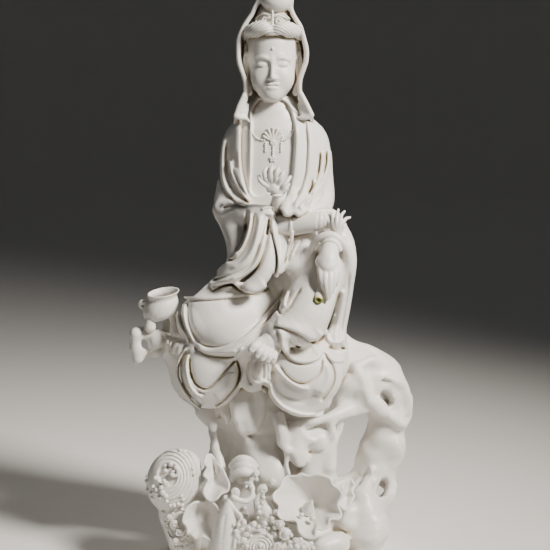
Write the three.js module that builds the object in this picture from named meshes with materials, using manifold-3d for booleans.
// A seated guanyin on pierced rockwork over waves, in white porcelain: a single piece, with
// every shell, leaf and pearl luted on before one firing.
// Millimetres, +Z up. The figure faces -Y, and the origin is on the flat underside of the rock.
import * as THREE from "three";
import { mergeVertices } from "three/addons/utils/BufferGeometryUtils.js";
import Module from "manifold-3d";

const wasm = await Module();
wasm.setup();

// Driving sizes
const FIGURE_HEIGHT = 485;
const POT_RADIUS = 15.5;
const POT_HEIGHT = 27;
const POT_WALL = 2.4;
const LEAF_THICKNESS = 2.6;
const HOOD_THICKNESS = 3.2;
const PEARL_RADIUS = 1.9;

// The free forms keep their pose as shares of the height: S is one part in 485 of it.
const S = FIGURE_HEIGHT / 485;

// How finely each region is worked, and how many triangles it and all of them joined keep
const CARVED_TRIANGLES = 6700;
const REGIONS = {
  head: { cell: 1.6, triangles: 1700 },
  robe: { cell: 2.8, triangles: 2400 },
  hand: { cell: 1.3, triangles: 260 },
  rock: { cell: 4.2, triangles: 1400 },
  wave: { cell: 2.1, triangles: 950 },
};

const { PI, abs, cos, exp, hypot, max, min, sin, sqrt } = Math;
const clamp01 = (t) => min(1, max(0, t));
const smooth = (t) => clamp01(t) ** 2 * (3 - 2 * clamp01(t));
const radians = THREE.MathUtils.degToRad;

// A form is a distance function and the box that holds it. An ellipsoid, turned about its centre.
function blob([x, y, z], [rx, ry, rz], turn = [0, 0, 0]) {
  const centre = new THREE.Vector3(x, y, z).multiplyScalar(S);
  const r = [rx * S, ry * S, rz * S];
  const back = new THREE.Matrix4()
    .makeRotationFromEuler(new THREE.Euler(...turn.map(radians)))
    .invert().elements;
  const turned = turn.some((a) => a !== 0);
  const reach = turned ? [max(...r), max(...r), max(...r)] : r;
  return {
    low: centre.toArray().map((c, i) => c - reach[i]),
    high: centre.toArray().map((c, i) => c + reach[i]),
    at(px, py, pz) {
      const a = px - centre.x, b = py - centre.y, c = pz - centre.z;
      const u = (back[0] * a + back[4] * b + back[8] * c) / r[0];
      const v = (back[1] * a + back[5] * b + back[9] * c) / r[1];
      const w = (back[2] * a + back[6] * b + back[10] * c) / r[2];
      const k = hypot(u, v, w);
      const slope = hypot(u / r[0], v / r[1], w / r[2]);
      return slope < 1e-9 ? -min(...r) : (k * (k - 1)) / slope;
    },
  };
}

// A round limb through [x, y, z, radius] stations, on a smooth curve.
function limb(stations, steps = 4) {
  const count = (stations.length - 1) * steps;
  const curve = new THREE.CatmullRomCurve3(stations.map((s) => new THREE.Vector3(s[0], s[1], s[2])));
  const radii = new THREE.CatmullRomCurve3(stations.map((s, i) => new THREE.Vector3(s[3], i, 0)));
  const points = [];
  for (let i = 0; i <= count; i++) {
    const p = curve.getPoint(i / count);
    points.push([p.x * S, p.y * S, p.z * S, radii.getPoint(i / count).x * S]);
  }
  const side = (k, sign) => (sign < 0 ? min : max)(...points.map((p) => p[k] + sign * p[3]));
  return {
    low: [0, 1, 2].map((k) => side(k, -1)),
    high: [0, 1, 2].map((k) => side(k, 1)),
    at(x, y, z) {
      let best = Infinity;
      for (let i = 0; i < count; i++) {
        const p = points[i], q = points[i + 1];
        const dx = q[0] - p[0], dy = q[1] - p[1], dz = q[2] - p[2];
        const ex = x - p[0], ey = y - p[1], ez = z - p[2];
        const t = clamp01((dx * ex + dy * ey + dz * ez) / (dx * dx + dy * dy + dz * dz + 1e-12));
        const d = hypot(ex - t * dx, ey - t * dy, ez - t * dz) - (p[3] + t * (q[3] - p[3]));
        if (d < best) best = d;
      }
      return best;
    },
  };
}

// An upright body of elliptical sections: stations are [z, centre x, half width, centre y, half depth].
function stack(stations, swell = 0) {
  const rows = stations.map((s) => s.map((n) => n * S)).sort((a, b) => a[0] - b[0]);
  const low = rows[0][0], high = rows[rows.length - 1][0];
  const section = (z) => {
    let i = 1;
    while (i < rows.length - 1 && rows[i][0] < z) i++;
    const t = smooth((z - rows[i - 1][0]) / (rows[i][0] - rows[i - 1][0]));
    return rows[i].map((n, k) => rows[i - 1][k] + t * (n - rows[i - 1][k]));
  };
  const wide = max(...rows.map((r) => abs(r[1]) + r[2])) + swell;
  const deep = max(...rows.map((r) => abs(r[3]) + r[4])) + swell;
  return {
    low: [-wide, -deep, low],
    high: [wide, deep, high],
    at(x, y, z) {
      const [, cx, w, cy, b] = section(min(high, max(low, z)));
      const u = (x - cx) / (w + swell), v = (y - cy) / (b + swell);
      const k = hypot(u, v);
      const slope = hypot(u / (w + swell), v / (b + swell));
      const flat = slope < 1e-9 ? -min(w, b) : (k * (k - 1)) / slope;
      return max(flat, low - z, z - high);
    },
  };
}

// A fold or groove drawn in [x, z] points, on what lies between two depths. It fades out at its ends.
function fold(line, width, [front, back], fade = 0.25) {
  const curve = new THREE.CatmullRomCurve3(line.map(([x, z]) => new THREE.Vector3(x * S, z * S, 0)));
  const count = (line.length - 1) * 5;
  const points = curve.getPoints(count);
  const w = width * S, margin = 2.2 * w;
  const xs = points.map((p) => p.x), zs = points.map((p) => p.y);
  return {
    low: [min(...xs) - margin, front * S, min(...zs) - margin],
    high: [max(...xs) + margin, back * S, max(...zs) + margin],
    at(x, _, z) {
      let best = Infinity, along = 0;
      for (let i = 0; i < count; i++) {
        const p = points[i], q = points[i + 1];
        const dx = q.x - p.x, dz = q.y - p.y;
        const t = clamp01(((x - p.x) * dx + (z - p.y) * dz) / (dx * dx + dz * dz + 1e-12));
        const d = hypot(x - p.x - t * dx, z - p.y - t * dz);
        if (d < best) [best, along] = [d, (i + t) / count];
      }
      const ends = smooth(along / fade) * smooth((1 - along) / fade);
      return exp(-((best / w) ** 2)) * ends;
    },
  };
}

// A block of cells that forms are worked into, and that is then skinned with triangles.
class Block {
  constructor(low, high, cell) {
    this.cell = cell * S;
    this.low = low.map((n) => n * S);
    this.count = high.map((n, k) => Math.ceil((n * S - this.low[k]) / this.cell) + 1);
    this.value = new Float32Array(this.count[0] * this.count[1] * this.count[2]).fill(30 * S);
  }
  each(form, margin, change) {
    const from = form.low.map((n, k) => max(1, Math.floor((n - margin - this.low[k]) / this.cell)));
    const to = form.high.map((n, k) =>
      min(this.count[k] - 2, Math.ceil((n + margin - this.low[k]) / this.cell)));
    for (let k = from[2]; k <= to[2]; k++) {
      for (let j = from[1]; j <= to[1]; j++) {
        let n = (k * this.count[1] + j) * this.count[0] + from[0];
        const y = this.low[1] + j * this.cell, z = this.low[2] + k * this.cell;
        for (let i = from[0]; i <= to[0]; i++, n++) {
          this.value[n] = change(this.value[n], form.at(this.low[0] + i * this.cell, y, z));
        }
      }
    }
    return this;
  }
  add(form, blend = 4) {
    const b = blend * S;
    return this.each(form, b + 3 * this.cell, (a, d) => {
      const h = max(0, b - abs(a - d)) / b;
      return min(a, d) - (h * h * b) / 4;
    });
  }
  cut(form, blend = 3) {
    const b = blend * S;
    return this.each(form, b + 3 * this.cell, (a, d) => {
      const h = max(0, b - abs(a + d)) / b;
      return max(a, -d) + (h * h * b) / 4;
    });
  }
  raise(form, height) {
    return this.each(form, 0, (a, share) => a - height * S * share);
  }
  floor(level = 0) {
    const everywhere = { low: [-1e4, -1e4, -1e4], high: [1e4, 1e4, 1e4], at: (x, y, z) => z };
    return this.each(everywhere, 0, (a, z) => max(a, level * S - z));
  }
}

// Marching tetrahedra: each cell's six tetrahedra share its main diagonal, so the skin is closed.
function skin(block) {
  const [nx, ny, nz] = block.count;
  const step = [0, 1, nx, nx + 1, nx * ny, nx * ny + 1, nx * ny + nx, nx * ny + nx + 1];
  const tets = [[0, 1, 3, 7], [0, 3, 2, 7], [0, 2, 6, 7], [0, 6, 4, 7], [0, 4, 5, 7], [0, 5, 1, 7]];
  const value = block.value;
  const positions = [], faces = [], made = new Map();
  const place = (n) => [n % nx, Math.floor(n / nx) % ny, Math.floor(n / (nx * ny))];
  const point = (a, b) => {
    const key = a < b ? a * value.length + b : b * value.length + a;
    if (made.has(key)) return made.get(key);
    const t = min(0.98, max(0.02, value[a] / (value[a] - value[b])));
    const p = place(a), q = place(b);
    for (let k = 0; k < 3; k++) positions.push(block.low[k] + block.cell * (p[k] + t * (q[k] - p[k])));
    made.set(key, positions.length / 3 - 1);
    return positions.length / 3 - 1;
  };
  for (let k = 0; k < nz - 1; k++) {
    for (let j = 0; j < ny - 1; j++) {
      for (let i = 0; i < nx - 1; i++) {
        const n = (k * ny + j) * nx + i;
        let inside = 0;
        for (const s of step) if (value[n + s] < 0) inside++;
        if (inside === 0 || inside === 8) continue;
        for (const tet of tets) {
          const corner = tet.map((c) => n + step[c]);
          const ins = corner.filter((c) => value[c] < 0), out = corner.filter((c) => value[c] >= 0);
          if (!ins.length || !out.length) continue;
          const ring = ins.length === 2
            ? [point(ins[0], out[0]), point(ins[0], out[1]), point(ins[1], out[1]), point(ins[1], out[0])]
            : (ins.length === 1 ? out.map((o) => point(ins[0], o)) : ins.map((c) => point(c, out[0])));
          addFacing(ring, ins[0]);
        }
      }
    }
  }
  // A ring of three or four points becomes triangles that look away from the inner corner.
  function addFacing(ring, inner) {
    const [a, b, c] = ring.map((r) => new THREE.Vector3().fromArray(positions, 3 * r));
    const core = new THREE.Vector3(...place(inner)).multiplyScalar(block.cell)
      .add(new THREE.Vector3(...block.low));
    const normal = b.clone().sub(a).cross(c.clone().sub(a));
    const order = normal.dot(a.sub(core)) > 0 ? ring : [...ring].reverse();
    for (let i = 2; i < order.length; i++) faces.push([order[0], order[i - 1], order[i]]);
  }
  return { positions, faces };
}

// Takes edges out, the flattest of a dozen picked at a time, until `target` triangles are left.
// An edge goes only if its ends share two neighbours and nothing turns over, so the skin stays
// closed. The picks come from a fixed sequence.
function thin({ positions, faces }, target) {
  const at = Float64Array.from(positions);
  const quadric = new Float64Array((at.length / 3) * 10);
  const around = Array.from({ length: at.length / 3 }, () => []);
  const mark = new Int32Array(at.length / 3);
  const left = faces.map((_, f) => f);
  const slot = Int32Array.from(left);
  let round = 0, state = 12345;
  const pick = (n) => {
    state = (Math.imul(state, 1664525) + 1013904223) >>> 0;
    return Math.floor((state / 2 ** 32) * n);
  };
  const normal = new Float64Array(4);
  const setNormal = (p, q, r, moving, x, y, z) => {
    const px = p === moving ? x : at[3 * p], py = p === moving ? y : at[3 * p + 1];
    const pz = p === moving ? z : at[3 * p + 2];
    const ux = (q === moving ? x : at[3 * q]) - px, uy = (q === moving ? y : at[3 * q + 1]) - py;
    const uz = (q === moving ? z : at[3 * q + 2]) - pz, vx = (r === moving ? x : at[3 * r]) - px;
    const vy = (r === moving ? y : at[3 * r + 1]) - py, vz = (r === moving ? z : at[3 * r + 2]) - pz;
    normal[0] = uy * vz - uz * vy;
    normal[1] = uz * vx - ux * vz;
    normal[2] = ux * vy - uy * vx;
    normal[3] = sqrt(normal[0] ** 2 + normal[1] ** 2 + normal[2] ** 2) || 1e-12;
  };
  faces.forEach(([p, q, r], f) => {
    setNormal(p, q, r, -1, 0, 0, 0);
    const [a, b, c] = [0, 1, 2].map((k) => normal[k] / normal[3]);
    const d = -(a * at[3 * p] + b * at[3 * p + 1] + c * at[3 * p + 2]);
    const terms = [a * a, a * b, a * c, a * d, b * b, b * c, b * d, c * c, c * d, d * d];
    for (const v of [p, q, r]) {
      for (let k = 0; k < 10; k++) quadric[10 * v + k] += terms[k] * normal[3];
      around[v].push(f);
    }
  });
  const q = new Float64Array(10);
  const error = (x, y, z) =>
    q[0] * x * x + q[4] * y * y + q[7] * z * z + q[9] +
    2 * (q[1] * x * y + q[2] * x * z + q[3] * x + q[5] * y * z + q[6] * y + q[8] * z);
  const best = { cost: 0, a: 0, b: 0, x: 0, y: 0, z: 0 };
  const tryEdge = (a, b) => {
    for (let k = 0; k < 10; k++) q[k] = quadric[10 * a + k] + quadric[10 * b + k];
    const dx = at[3 * b] - at[3 * a], dy = at[3 * b + 1] - at[3 * a + 1], dz = at[3 * b + 2] - at[3 * a + 2];
    const long = 2e-4 * (dx * dx + dy * dy + dz * dz) ** 1.5;
    for (const t of [0, 0.5, 1]) {
      const x = at[3 * a] + t * dx, y = at[3 * a + 1] + t * dy, z = at[3 * a + 2] + t * dz;
      const cost = error(x, y, z) + long;
      if (cost < best.cost) Object.assign(best, { cost, a, b, x, y, z });
    }
  };
  const turnsOver = (v, other) => {
    for (const f of around[v]) {
      const [i, j, k] = faces[f];
      if (i === other || j === other || k === other) continue;
      setNormal(i, j, k, -1, 0, 0, 0);
      const [nx, ny, nz, size] = normal;
      setNormal(i, j, k, v, best.x, best.y, best.z);
      const same = nx * normal[0] + ny * normal[1] + nz * normal[2];
      if (same < 0.3 * size * normal[3] || normal[3] < 1e-6) return true;
    }
    return false;
  };
  const shared = (a, b) => {
    round += 2;
    for (const f of around[a]) for (const v of faces[f]) mark[v] = round;
    let common = 0;
    for (const f of around[b]) {
      for (const v of faces[f]) {
        if (mark[v] === round && v !== a && v !== b) {
          mark[v] = round + 1;
          common++;
        }
      }
    }
    return common;
  };
  for (let tries = 0; left.length > target && tries < 40 * faces.length; tries++) {
    best.cost = Infinity;
    for (let i = 0; i < 12; i++) {
      const face = faces[left[pick(left.length)]];
      const k = pick(3);
      tryEdge(face[k], face[(k + 1) % 3]);
    }
    const { a, b } = best;
    if (shared(a, b) !== 2 || turnsOver(a, b) || turnsOver(b, a)) continue;
    const kept = around[a].filter((f) => !faces[f].includes(b));
    for (const f of around[b]) {
      if (!faces[f].includes(a)) {
        faces[f] = faces[f].map((v) => (v === b ? a : v));
        kept.push(f);
        continue;
      }
      const third = faces[f].find((v) => v !== a && v !== b);
      around[third] = around[third].filter((g) => g !== f);
      const last = left.pop();
      if (last !== f) {
        left[slot[f]] = last;
        slot[last] = slot[f];
      }
    }
    around[a] = kept;
    around[b] = [];
    at[3 * a] = best.x;
    at[3 * a + 1] = best.y;
    at[3 * a + 2] = best.z;
    for (let k = 0; k < 10; k++) quadric[10 * a + k] += quadric[10 * b + k];
  }
  return { positions: at, faces: left.map((f) => faces[f]) };
}

// A solid from a list of points and faces, or from a three.js geometry.
function solidOf({ positions, faces }) {
  const mesh = new wasm.Mesh({
    numProp: 3,
    vertProperties: new Float32Array(positions),
    triVerts: new Uint32Array(faces.flat()),
  });
  mesh.merge();
  return new wasm.Manifold(mesh);
}
function solidOfGeometry(geometry) {
  geometry.deleteAttribute("normal");
  geometry.deleteAttribute("uv");
  const merged = mergeVertices(geometry, 1e-4);
  return new wasm.Manifold(new wasm.Mesh({
    numProp: 3,
    vertProperties: merged.attributes.position.array,
    triVerts: new Uint32Array(merged.index.array),
  }));
}
const carved = (block, region) => solidOf(thin(skin(block), REGIONS[region].triangles));

// A form kept between two levels of one axis (0, 1, 2 for X, Y, Z).
function between(form, axis, from, to) {
  const low = [...form.low], high = [...form.high];
  low[axis] = max(low[axis], from * S);
  high[axis] = min(high[axis], to * S);
  return {
    low, high,
    at(x, y, z) {
      const place = [x, y, z][axis];
      return max(form.at(x, y, z), from * S - place, place - to * S);
    },
  };
}

// A strip of the front, from one edge to the other: stations are [z, left x, right x].
function panel(stations, soft = 1.2) {
  const rows = stations.map((s) => s.map((n) => n * S)).sort((a, b) => a[0] - b[0]);
  const low = rows[0][0], high = rows[rows.length - 1][0];
  return {
    low: [min(...rows.map((r) => r[1])) - 2, -200 * S, low - 2],
    high: [max(...rows.map((r) => r[2])) + 2, 0, high + 2],
    at(x, _, z) {
      let i = 1;
      while (i < rows.length - 1 && rows[i][0] < z) i++;
      const t = clamp01((z - rows[i - 1][0]) / (rows[i][0] - rows[i - 1][0]));
      const [left, right] = [1, 2].map((k) => rows[i - 1][k] + t * (rows[i][k] - rows[i - 1][k]));
      const edge = soft * S;
      return smooth((x - left) / edge) * smooth((right - x) / edge)
        * smooth((z - low) / edge) * smooth((high - z) / edge);
    },
  };
}

// Everything under a plane that drops towards the back, from `level` at the depth `front`.
function under(level, front, slope) {
  return {
    low: [-200 * S, -200 * S, 300 * S],
    high: [200 * S, 200 * S, (level + 4) * S],
    at: (x, y, z) => (z - level * S + slope * (y - front * S)) / hypot(1, slope),
  };
}

// The hood: an open-fronted shell that follows the head, flares at the shoulders and folds its
// tip forward over the topknot. It hangs lower behind.
const HOOD_FRONT = -9;
const HOOD = [
  [485, 5, 3, 2, 8], [481, 5, 10, -1, 20], [474, 4.5, 14, -4, 30], [466, 3.8, 17, -6, 36],
  [458, 3, 21, -7, 39], [446, 1.8, 27.5, -8, 42], [434, 1.3, 30, -8, 45], [416, 1.7, 29.3, -8, 46],
  [404, 1.9, 25.5, -8, 45], [392, 2, 25.5, -8, 45], [384, 2.5, 29.5, -8, 46], [376, 2.8, 35.5, -8, 48],
  [366, 3, 39, -8, 50], [346, 3, 41, -8, 51],
];
function headSolid() {
  const block = new Block([-48, -44, 340], [54, 60, 490], REGIONS.head.cell);
  block.add(between(stack(HOOD), 1, HOOD_FRONT, 60), 2);
  block.cut(between(stack(HOOD, -HOOD_THICKNESS), 1, -60, 8), 2);
  block.cut(under(373, HOOD_FRONT, 0.6), 2);
  block.add(blob([5.5, -9, 471], [14, 14, 11], [25, 0, 0]), 5);
  // topknot, skull, face, neck
  block.add(limb([[2.5, 2, 440, 19], [2.5, 0, 456, 14.5], [3, 0, 468, 10]]), 5);
  block.add(blob([1.9, 4, 427], [21.5, 24.5, 21]), 5);
  block.add(blob([1.9, -2, 411], [18.4, 19.5, 23]), 6);
  block.add(blob([1.9, -9, 397], [10.5, 11, 9]), 6);
  block.add(limb([[2, 8, 398, 12], [2, 8, 366, 15]]), 5);
  for (const side of [-1, 1]) {
    const x = (share) => 1.9 + side * share;
    block.add(limb([[x(19), 3, 423, 2.4], [x(20.8), 1, 411, 2.6], [x(18.6), -3, 397, 3]]), 1.5);
    // hair rolls swept back from the parting, the eyelids and the nostrils
    block.add(limb([[x(1.5), -19, 446, 4], [x(9), -18, 441.5, 4.6], [x(18), -8, 433, 4.4]]), 2);
    block.add(blob([x(7.4), -18.6, 418.4], [5.2, 3.2, 3]), 1.5);
    block.cut(limb([[x(3.5), -23.2, 416.2, 0.8], [x(11), -19.6, 416.6, 0.8]]), 1);
    block.add(blob([x(2), -22, 406.6], [2.1, 2.2, 1.7]), 1.5);
  }
  block.add(limb([[1.9, -19, 424, 1.6], [1.9, -22.4, 414, 1.9], [1.9, -24, 407.4, 2.4]]), 3);
  block.add(blob([1.9, -20, 401.4], [4.2, 2.6, 1.5]), 1.5);
  block.add(blob([1.9, -19.4, 398.6], [3.4, 2.6, 1.5]), 1.2);
  // scroll ornament before the topknot
  block.add(limb([[-9, -15, 449, 1.7], [2, -19, 455, 2.3], [13, -15, 449, 1.7]]), 2);
  return carved(block, "head");
}

// The robe: torso and sleeves, the folded right leg, the raised left leg and the hems over the rock.
const TORSO = [
  [386, 2.5, 15, 6, 15], [378, 3, 32, 8, 22], [368, 3.5, 41, 9, 26], [356, 4, 46, 9, 28],
  [340, 4.5, 48.5, 8, 29], [322, 5, 50, 8, 31], [300, 5, 50, 8, 33], [280, 4, 45, 10, 34],
  [255, 5, 42, 12, 34], [225, 4, 50, 12, 38], [190, 4, 60, 10, 44], [168, 4, 60, 8, 46],
];
function robeSolid() {
  const block = new Block([-92, -104, 128], [86, 62, 392], REGIONS.robe.cell);
  block.add(stack(TORSO), 4);
  // right arm, bent up before the chest, and the sleeve that hangs from it to the lap
  block.add(limb([[-29, 6, 352, 16], [-36, 3, 325, 15], [-37, -4, 298, 13.5], [-28, -22, 289, 12.5],
    [-12, -38, 295, 10.5], [-1, -46, 302, 9]]), 8);
  block.add(limb([[-27, -24, 286, 14], [-31, -32, 262, 13], [-38, -40, 245, 10]]), 8);
  block.add(limb([[-12, -40, 288, 9], [-14, -48, 264, 9], [-24, -56, 244, 7]]), 6);
  block.add(limb([[1, -46, 292, 7], [4, -50, 264, 8], [0, -54, 244, 6]]), 5);
  // left arm and its long sleeve, which falls behind the raised knee to the rock
  block.add(limb([[38, 8, 350, 15], [43, 6, 322, 14], [43, -4, 302, 13], [36, -26, 297, 12],
    [24, -38, 296, 9]]), 8);
  block.add(limb([[52, -14, 288, 12], [60, -22, 262, 12], [57, -20, 220, 12], [56, -18, 178, 11]]), 8);
  // right thigh and knee, folded flat on the rock
  block.add(limb([[-8, -8, 214, 30], [-40, -30, 212, 30], [-56, -38, 206, 25]]), 10);
  block.add(blob([-22, -52, 196], [36, 24, 20]), 10);
  // raised left leg
  block.add(limb([[12, -6, 232, 26], [34, -30, 250, 20], [48, -48, 258, 15]]), 8);
  block.add(limb([[48, -50, 260, 14], [38, -58, 238, 20], [28, -64, 217, 22], [8, -73, 203, 14]]), 8);
  // the skirt hangs over the edge of the seat in two rounded swags with a tongue between them
  block.add(blob([-50, -46, 168], [29, 24, 33]), 6);
  block.add(blob([25, -52, 168], [35, 25, 29]), 6);
  block.add(limb([[-8, -62, 186, 15], [-7, -72, 172, 10], [-4, -76, 163, 8]]), 5);
  block.add(limb([[50, -40, 190, 13], [56, -36, 172, 13], [54, -34, 160, 10]]), 6);
  robeRelief(block);
  return carved(block, "robe");
}

// Collar, lapels and the nested folds, drawn on the front, and a few long folds down the back.
function robeRelief(block) {
  const ridge = (line, width, height) => block.raise(fold(line, width, [-200, 2]), height);
  for (const t of [-1, -0.4, 0.3, 1]) {
    block.raise(fold([[30 * t, 350], [36 * t, 290], [30 * t + 6, 225]], 4, [20, 200]), 2.6);
  }
  block.raise(panel([[390, -15, 13], [376, -16, 19], [335, -17, 22], [322, -15, 18], [310, -6, 11]]), -4.5);
  ridge([[-17, 386], [-19, 360], [-19.5, 338], [-17, 318], [-8, 306]], 2.4, 3.2);
  ridge([[15, 388], [23, 370], [26, 340], [23, 318], [18, 300]], 3.4, 3.6);
  for (const [x, top] of [[-27, 362], [-34, 352], [-41, 340]]) {
    ridge([[x, top], [x - 1, 330], [x + 9, 306], [x + 28, 292]], 2.8, 3);
  }
  for (const [x, top] of [[36, 362], [44, 348], [51, 334]]) {
    ridge([[x, top], [x + 1, 330], [x - 7, 308], [x - 24, 292]], 2.8, 3);
  }
  // folds of the hanging sleeve
  for (const out of [0, 9, 18, 26]) {
    ridge([[-24 + out, 294], [-23 + out, 276], [-29 + out, 256], [-46 + 1.2 * out, 245]], 2.4, 2.6);
  }
  // the edge of the overskirt across the thigh, and the creases that the shin draws
  ridge([[8, 236], [-10, 214], [-34, 200], [-66, 196]], 2.6, 2.4);
  ridge([[12, 224], [-4, 204], [-30, 190], [-70, 188]], 2.6, -2.4);
  for (const drop of [0, 14, 28]) {
    ridge([[60 - drop / 4, 258 - drop], [42, 232 - drop], [14, 216 - drop]], 2.6, -2);
  }
  // nested swags of the hem
  const swag = (x, z, wide, deep) =>
    [-1, -0.85, 0, 0.85, 1].map((t) => [x + wide * t, z - deep * sqrt(1 - t * t)]);
  for (const inner of [0, 8, 17]) {
    ridge(swag(-50, 190, 27 - 0.8 * inner, 54 - inner), 2.4, 3);
    ridge(swag(25, 192, 32 - 0.9 * inner, 52 - inner), 2.4, 3);
  }
}

// A hand: a palm, and fingers given as stations of [x, y, z, radius].
function handSolid(palm, fingers, low, high) {
  const block = new Block(low, high, REGIONS.hand.cell);
  for (const form of palm) block.add(form, 3);
  for (const finger of fingers) block.add(limb(finger), 1.4);
  return carved(block, "hand");
}
function rightHandSolid() {
  const tips = [[-10, 325, -52], [-6, 331, -54], [0, 334, -55], [7, 334, -54], [13, 330, -50]];
  const fingers = tips.map(([x, z, y], i) => {
    const root = -1.5 + 2.6 * i;
    return [[root, -51, 318, 2.3], [(root + x) / 2 - 0.5, y - 1.5, (318 + z) / 2, 2.1], [x, y, z, 1.6]];
  });
  const palm = [blob([4, -50, 315], [7, 4.2, 8]), limb([[1, -47, 302, 5.5], [3, -49, 312, 5]])];
  return handSolid(palm, fingers, [-16, -62, 294], [20, -38, 340]);
}
function leftHandSolid() {
  const fingers = [0, 1, 2, 3].map((i) => {
    const x = 40 + 4.2 * i;
    return [[x, -72, 258, 2.7], [x - 1, -79, 246, 2.5], [43 + 1.6 * i, -80, 234 + 2 * i, 1.8]];
  });
  fingers.push([[38, -72, 262, 2.8], [37, -77, 250, 2.4], [41, -80, 239, 1.9]]);
  const palm = [blob([46, -70, 262], [9.5, 6, 9]), limb([[50, -60, 272, 7], [48, -67, 264, 7]])];
  return handSolid(palm, fingers, [30, -86, 226], [62, -50, 282]);
}
// The foot of the raised leg, with the toes towards the viewer's left.
function footSolid() {
  const toes = [0, 1, 2, 3, 4].map((i) => {
    const root = [-5 + 4.4 * i, -86 + 1.1 * i, 191.5 - 3.2 * i];
    return [[...root, 3.6 - 0.3 * i], [root[0] - 6, root[1] - 6, root[2] - 5, 3.1 - 0.3 * i]];
  });
  const heel = limb([[14, -74, 198, 10], [4, -82, 190, 9]]);
  const ball = limb([[-5, -85, 191, 5.5], [13, -81, 179, 5.5]]);
  return handSolid([heel, ball], toes, [-22, -104, 162], [28, -62, 210]);
}

// The wrapped bundle across the lap: a roll, a tied neck and a frilled end.
function bundleSolid() {
  const block = new Block([-2, -68, 270], [72, -30, 312], REGIONS.hand.cell * 1.3);
  block.add(limb([[9, -42, 287, 8], [26, -48, 289, 9], [42, -53, 292, 8], [50, -53, 294, 5.5]]), 3);
  for (const [x, z] of [[59, 305], [64, 299], [64, 291], [60, 284]]) {
    block.add(limb([[50, -53, 294, 4], [(x + 50) / 2, -54, (z + 294) / 2 + 1, 3], [x, -52, z, 1.5]]), 1.5);
  }
  return carved(block, "hand");
}

// Rockwork: the seat on its trunk, the ledge on the left and the free-standing arch on the right.
const ROCK_BASE = 0;
const TRUNK = [
  [0, 7, 84, -3, 77], [12, 7, 86, -3, 78], [34, 5, 78, -3, 70], [60, 4, 62, 0, 58],
  [90, 4, 54, 3, 50], [118, -4, 62, 4, 50], [140, -10, 70, 4, 50], [165, -2, 70, 6, 50],
  [186, 4, 62, 8, 46], [200, 6, 48, 10, 34],
];
const ARCH = [
  [50, 2, 158, 30], [76, -2, 152, 26], [97, -6, 136, 21], [99.5, -8, 110, 20], [96, -8, 86, 18],
  [94, -9, 62, 19], [90, -12, 36, 21], [80, -14, 12, 26],
];
const LEDGE = [[-56, -8, 146, 28], [-76, -14, 165, 18], [-92, -20, 182, 12], [-107, -22, 188, 10.5]];
function rockSolid() {
  const block = new Block([-124, -92, -6], [126, 86, 210], REGIONS.rock.cell);
  block.add(stack(TRUNK), 6);
  block.add(limb(LEDGE, 5), 12);
  block.add(limb([[-108, -22, 186, 10.5], [-112, -22, 175, 6.5]]), 6);
  block.add(limb(ARCH, 5), 12);
  block.add(blob([70, -12, 38], [26, 46, 35]), 10);
  block.add(limb([[-58, -30, 8, 20], [-66, -34, 38, 23], [-76, -36, 62, 17]]), 12);
  // water-worn ribs and hollows that climb the trunk, a little twisted
  for (let i = 0; i < 11; i++) {
    const rib = (turn, out, z, r) => [3 + out * cos(turn), 2 + 0.86 * out * sin(turn), z, r];
    const turn = radians(33 * i + 12 * sin(2.4 * i));
    const foot = 20 + 9 * (i % 3), top = 132 + 11 * (i % 4);
    block.add(limb([rib(turn, 66, foot, 15), rib(turn + 0.2, 48, 84, 8), rib(turn + 0.1, 58, top, 15)]), 9);
    const hollow = [
      rib(turn + 0.3, 76, foot + 26, 8), rib(turn + 0.36, 62, 92, 10), rib(turn + 0.3, 66, top - 8, 6),
    ];
    block.cut(limb(hollow), 7);
  }
  block.cut(limb([[101, -60, 140, 6], [98, 40, 136, 5]]), 3);
  block.cut(limb([[98, -60, 60, 5], [94, 40, 62, 4.5]]), 3);
  block.cut(limb([[-104, -50, 183, 4.5], [-104, 10, 185, 4.5]]), 2);
  block.floor(ROCK_BASE);
  return carved(block, "rock");
}

// A ruffled leaf or petal: a cupped disc with a wavy rim, of even thickness.
function leafSolid(place, turns, radius, { cup = 0.4, waves = 7, ruffle = 0.12 }) {
  const spokes = 22, rings = 2;
  const positions = [], faces = [];
  const surface = (i, j, side) => {
    const a = (2 * PI * j) / spokes;
    const share = i / rings;
    const wave = cos(waves * a) * share ** 2;
    const out = radius * S * share * (1 + 0.06 * wave);
    const rise = radius * S * (cup * share ** 2 + ruffle * wave) + (side * LEAF_THICKNESS) / 2;
    return [out * cos(a), out * sin(a), rise];
  };
  for (const side of [1, -1]) {
    positions.push(surface(0, 0, side));
    for (let n = 0; n < rings * spokes; n++) {
      positions.push(surface(1 + Math.floor(n / spokes), n % spokes, side));
    }
  }
  const at = (side, i, j) => {
    const first = side > 0 ? 0 : 1 + rings * spokes;
    return i ? first + 1 + (i - 1) * spokes + (j % spokes) : first;
  };
  for (let j = 0; j < spokes; j++) {
    for (const side of [1, -1]) {
      const add = (a, b, c) => faces.push(side > 0 ? [a, b, c] : [a, c, b]);
      add(at(side, 0, 0), at(side, 1, j), at(side, 1, j + 1));
      for (let i = 1; i < rings; i++) {
        add(at(side, i, j), at(side, i + 1, j), at(side, i + 1, j + 1));
        add(at(side, i, j), at(side, i + 1, j + 1), at(side, i, j + 1));
      }
    }
    faces.push([at(1, rings, j), at(-1, rings, j), at(-1, rings, j + 1)]);
    faces.push([at(1, rings, j), at(-1, rings, j + 1), at(1, rings, j + 1)]);
  }
  const turn = new THREE.Euler(...turns.map(radians), "ZYX");
  const centre = new THREE.Vector3(...place).multiplyScalar(S);
  return solidOf({
    positions: positions.flatMap((p) => new THREE.Vector3(...p).applyEuler(turn).add(centre).toArray()),
    faces,
  });
}

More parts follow.
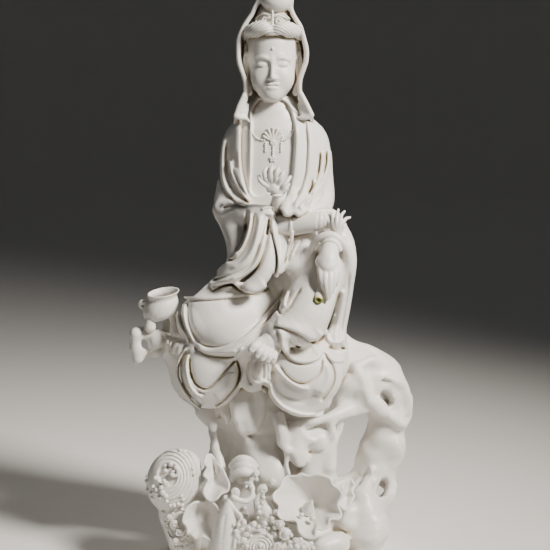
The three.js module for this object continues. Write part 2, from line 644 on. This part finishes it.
// Pearls spread evenly over the front of a mound, half sunk into it.
function pearlSolids([x, y, z], [rx, ry, rz], count) {
  return Array.from({ length: count }, (_, i) => {
    const facing = 1 - (0.8 * (i + 0.5)) / count;
    const around = radians(137.5 * i);
    const out = sqrt(1 - facing * facing);
    const ball = new THREE.IcosahedronGeometry(PEARL_RADIUS, 0);
    ball.translate((x + rx * out * cos(around)) * S, (y - ry * facing) * S, (z + rz * out * sin(around)) * S);
    return solidOfGeometry(ball);
  });
}

// Waves, shell and foam on the front of the base.
const SHELL = { place: [-84, -48, 66], size: [24, 20, 25] };
const FOAM = { place: [-2, -76, 24], size: [36, 18, 24] };
function waveSolid() {
  const block = new Block([-114, -108, -4], [84, -20, 104], REGIONS.wave.cell);
  // spiral shell at the left
  block.add(blob(SHELL.place, SHELL.size), 2);
  for (let i = 0; i < 3; i++) {
    const r = 20 - 6 * i;
    const rim = Array.from({ length: 9 }, (_, k) => {
      const a = (2 * PI * k) / 8 + i;
      const y = SHELL.place[1] - 2 - 16 * sqrt(1 - (r / 26) ** 2);
      return [SHELL.place[0] + (r - 0.7 * k) * cos(a), y, SHELL.place[2] + (r - 0.7 * k) * sin(a), 2.6];
    });
    block.add(limb(rim), 2);
  }
  // a mound of foam, and wave crests that curl over it
  block.add(blob(FOAM.place, FOAM.size), 6);
  const crests = [
    [-24, -80, 74, 12], [-2, -84, 62, 10], [-7, -90, 30, 12], [-40, -80, 34, 11], [52, -68, 36, 12],
  ];
  for (const [x, y, z, r] of crests) {
    const curl = Array.from({ length: 9 }, (_, k) => {
      const a = radians(60 * k);
      const out = r * (1 - k / 9.5);
      return [x + out * cos(a), y - 0.5 * k, z + out * sin(a), 3 - 0.15 * k];
    });
    block.add(limb(curl), 3);
    block.add(blob([x, y + 14, z - 4], [r + 3, 16, r + 3]), 4);
  }
  // folded leaf that stands as a pointed cone
  block.add(limb([[-36, -80, 8, 15], [-35, -82, 36, 10], [-34, -80, 64, 3]]), 4);
  block.floor(ROCK_BASE);
  return carved(block, "wave");
}

// Lotus leaves, luted on between the waves, and the pearls of spray.
function leavesAndPearls() {
  return [
    leafSolid([24, -66, 58], [66, 0, -10], 31, { cup: 0.5, waves: 9 }),
    leafSolid([31, -80, 42], [42, 8, 0], 14, { cup: 0.55, waves: 5 }),
    leafSolid([-58, -58, 46], [56, 0, 0], 17, { cup: 0.8, waves: 6 }),
    leafSolid([-46, -54, 84], [78, 24, 0], 18, { cup: 0.6, waves: 4, ruffle: 0.2 }),
    leafSolid([62, -42, 62], [80, 40, 0], 12, { cup: 0.4, waves: 3 }),
    ...pearlSolids(FOAM.place, FOAM.size, 14),
    ...pearlSolids(SHELL.place, SHELL.size, 10),
  ];
}

// The small pot on the ledge, open and hollow, on three feet with a loop handle.
const POT_PLACE = [-88, -26, 203];
function potSolid() {
  const r = POT_RADIUS, h = POT_HEIGHT, w = POT_WALL;
  const profile = new THREE.Path();
  profile.moveTo(0, 0);
  profile.lineTo(0.45 * r, 0);
  profile.bezierCurveTo(0.85 * r, 0.02 * h, 1.08 * r, 0.3 * h, r, 0.55 * h);
  profile.bezierCurveTo(0.95 * r, 0.72 * h, 0.8 * r, 0.8 * h, 0.86 * r, h);
  profile.lineTo(0.86 * r - w, h);
  profile.bezierCurveTo(0.8 * r - w, 0.8 * h, 0.95 * r - w, 0.72 * h, r - w, 0.55 * h);
  profile.bezierCurveTo(1.08 * r - w, 0.3 * h, 0.75 * r - w, 0.1 * h + w, 0, w);
  const outline = profile.getPoints(2);
  outline[0].x = 0;
  outline[outline.length - 1].x = 0;
  const body = new THREE.LatheGeometry(outline, 16);
  body.rotateX(PI / 2);
  const parts = [solidOfGeometry(body)];
  for (let i = 0; i < 3; i++) {
    const foot = new THREE.CylinderGeometry(2.6, 1.8, 9, 6);
    foot.rotateX(PI / 2);
    foot.translate(0.5 * r * cos(radians(120 * i + 90)), 0.5 * r * sin(radians(120 * i + 90)), -2.5);
    parts.push(solidOfGeometry(foot));
  }
  const handle = new THREE.TorusGeometry(4.5, 1.8, 5, 10);
  handle.rotateX(PI / 2);
  handle.translate(-r - 2, 0, 0.6 * h);
  parts.push(solidOfGeometry(handle));
  const [x, y, z] = POT_PLACE.map((n) => n * S);
  return parts.map((part) => part.rotate([8, -8, 0]).translate([x, y, z]));
}

// Points and faces of a solid, as lists.
function meshOf(solid) {
  const { vertProperties, triVerts } = solid.getMesh();
  const faces = Array.from({ length: triVerts.length / 3 }, (_, f) => [...triVerts.slice(3 * f, 3 * f + 3)]);
  return { positions: vertProperties, faces };
}

// Everything joined into the one fired piece
const join = (parts) => parts.reduce((sum, part) => sum.add(part));
const carvedForms = join([
  headSolid(), robeSolid(), rightHandSolid(), leftHandSolid(), footSolid(), bundleSolid(), rockSolid(),
  waveSolid(),
]);
const thinned = solidOf(thin(meshOf(carvedForms), CARVED_TRIANGLES));
const whole = join([thinned, ...leavesAndPearls(), ...potSolid()]);

// The origin is the middle of the whole piece, on its underside.
const box = whole.boundingBox();
const middle = [0, 1].map((k) => (box.min[k] + box.max[k]) / 2);
const { vertProperties, triVerts } = whole.translate([-middle[0], -middle[1], -box.min[2]]).getMesh();
const geometry = new THREE.BufferGeometry();
geometry.setAttribute("position", new THREE.BufferAttribute(vertProperties, 3));
geometry.setIndex(new THREE.BufferAttribute(triVerts, 1));
const porcelain = new THREE.MeshStandardMaterial({ color: 0xe4dfd6, roughness: 0.38, metalness: 0 });
const figure = new THREE.Mesh(geometry, porcelain);
figure.name = "guanyin_on_rockwork";

const group = new THREE.Group();
group.add(figure);
export default group;
